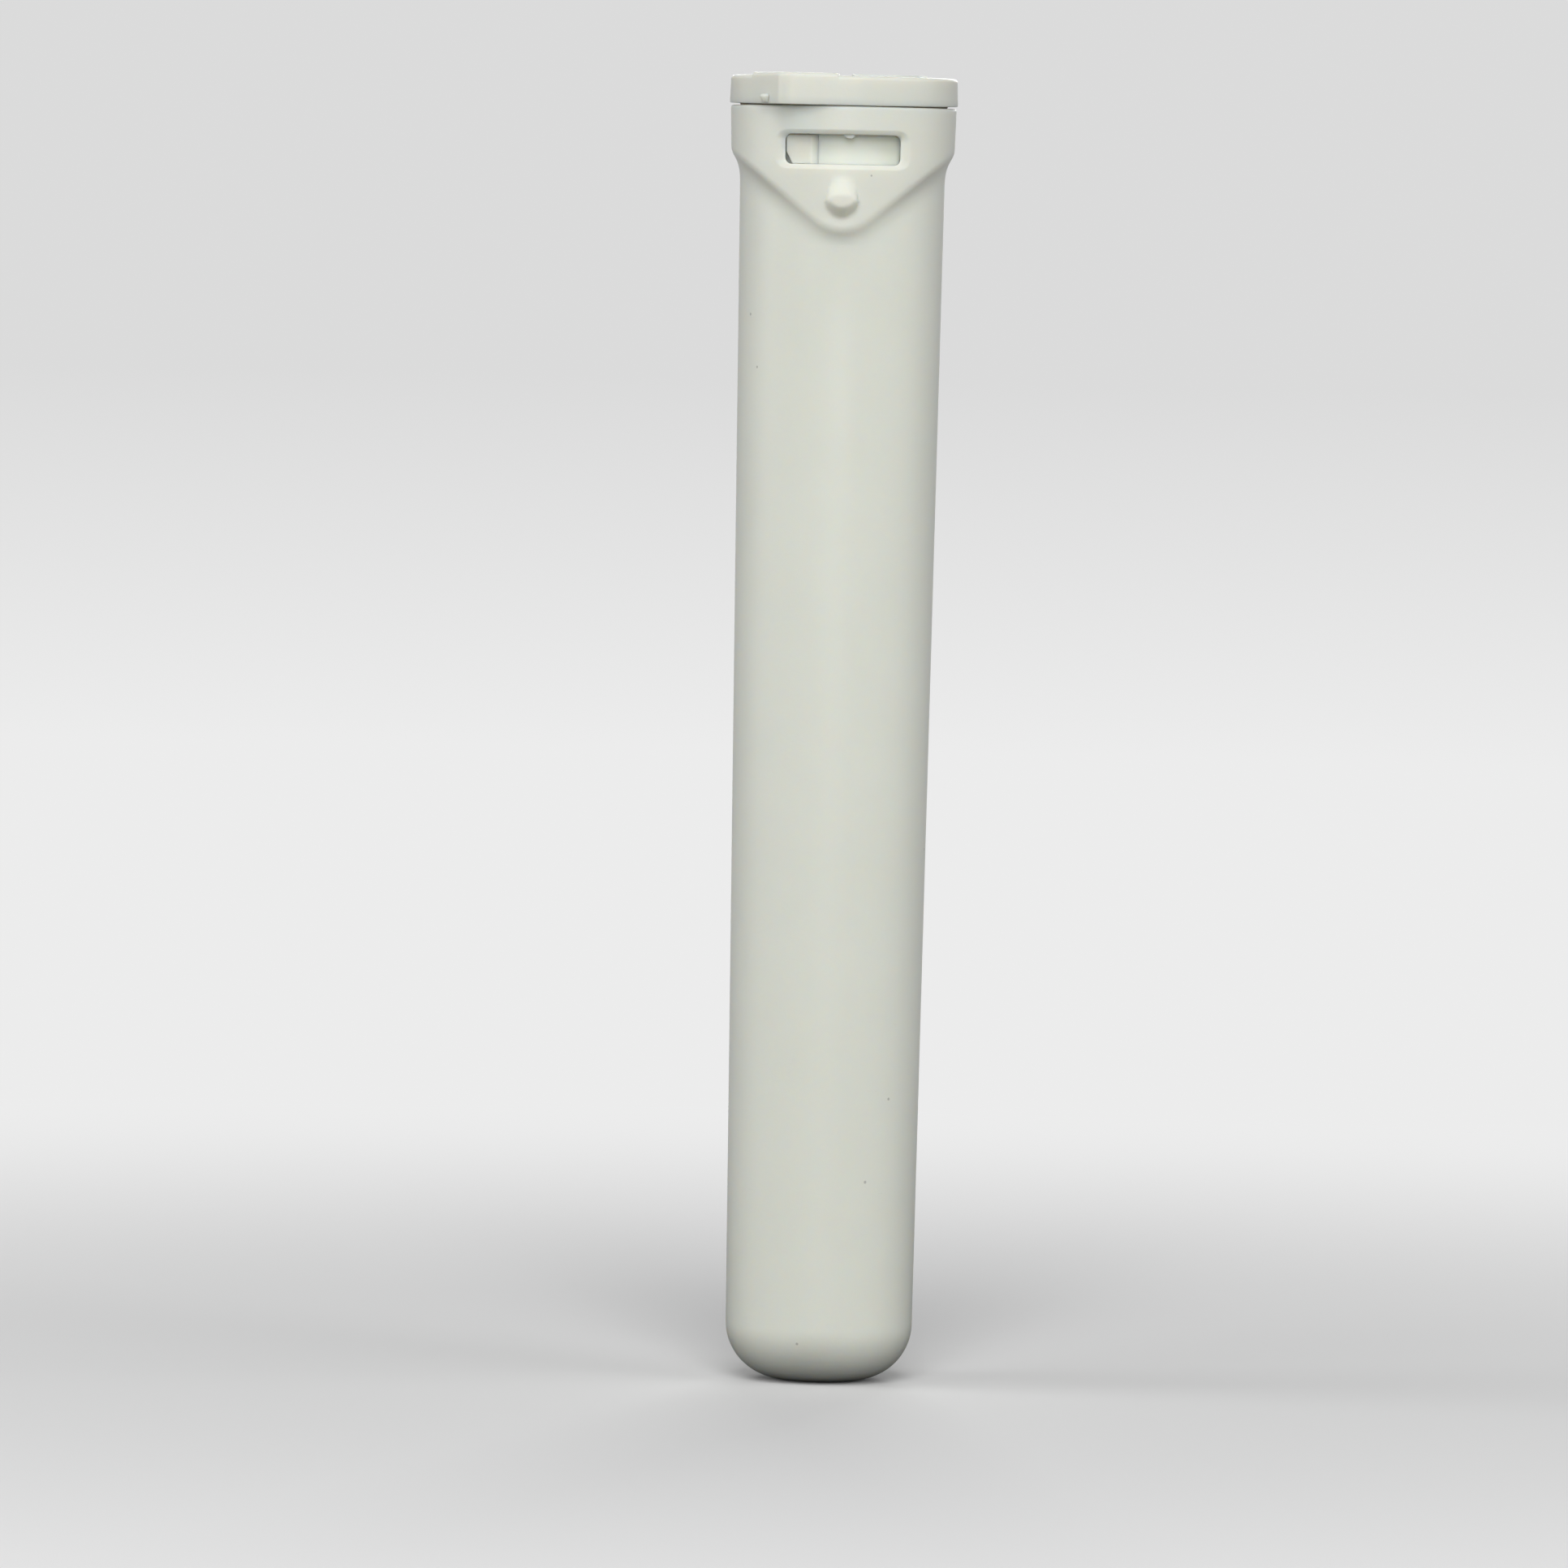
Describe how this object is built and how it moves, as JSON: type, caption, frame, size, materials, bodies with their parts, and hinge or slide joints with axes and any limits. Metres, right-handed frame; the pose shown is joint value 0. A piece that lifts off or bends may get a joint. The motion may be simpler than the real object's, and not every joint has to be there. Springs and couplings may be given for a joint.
{
  "type": "packaging tube",
  "caption": "Slim rigid plastic tube with a round closed end, a windowed collar and a turning bayonet cap with a pointer.",
  "frame": {"origin": "on the tube's axis, at the centre of the small flat that its round end stands on", "axes": "+Z along the tube towards the cap; -Y is the front, with the window in the collar; +X to the right of the front"},
  "size_m": [0.0202, 0.0209, 0.116],
  "materials": {
    "tube_plastic": "off-white moulded plastic, satin, with fine specks and scuffs",
    "cap_plastic": "off-white moulded plastic, satin, slightly warmer at the lug",
    "seal_foam": "soft grey-brown foam"
  },
  "bodies": {
    "tube": {"tube_body": "tube_plastic"},
    "seal": {"seal_ring": "seal_foam"},
    "cap": {"cap": "cap_plastic"}
  },
  "joints": [
    {"name": "cap_lift", "type": "slide", "parent": "tube", "child": "seal", "axis": [0, 0, 1], "range_m": [0, 0.03]},
    {"name": "cap_turn", "type": "hinge", "parent": "seal", "child": "cap", "pos_m": [0, 0, 0.11313], "axis": [0, 0, 1], "range_deg": [0, 46]}
  ]
}
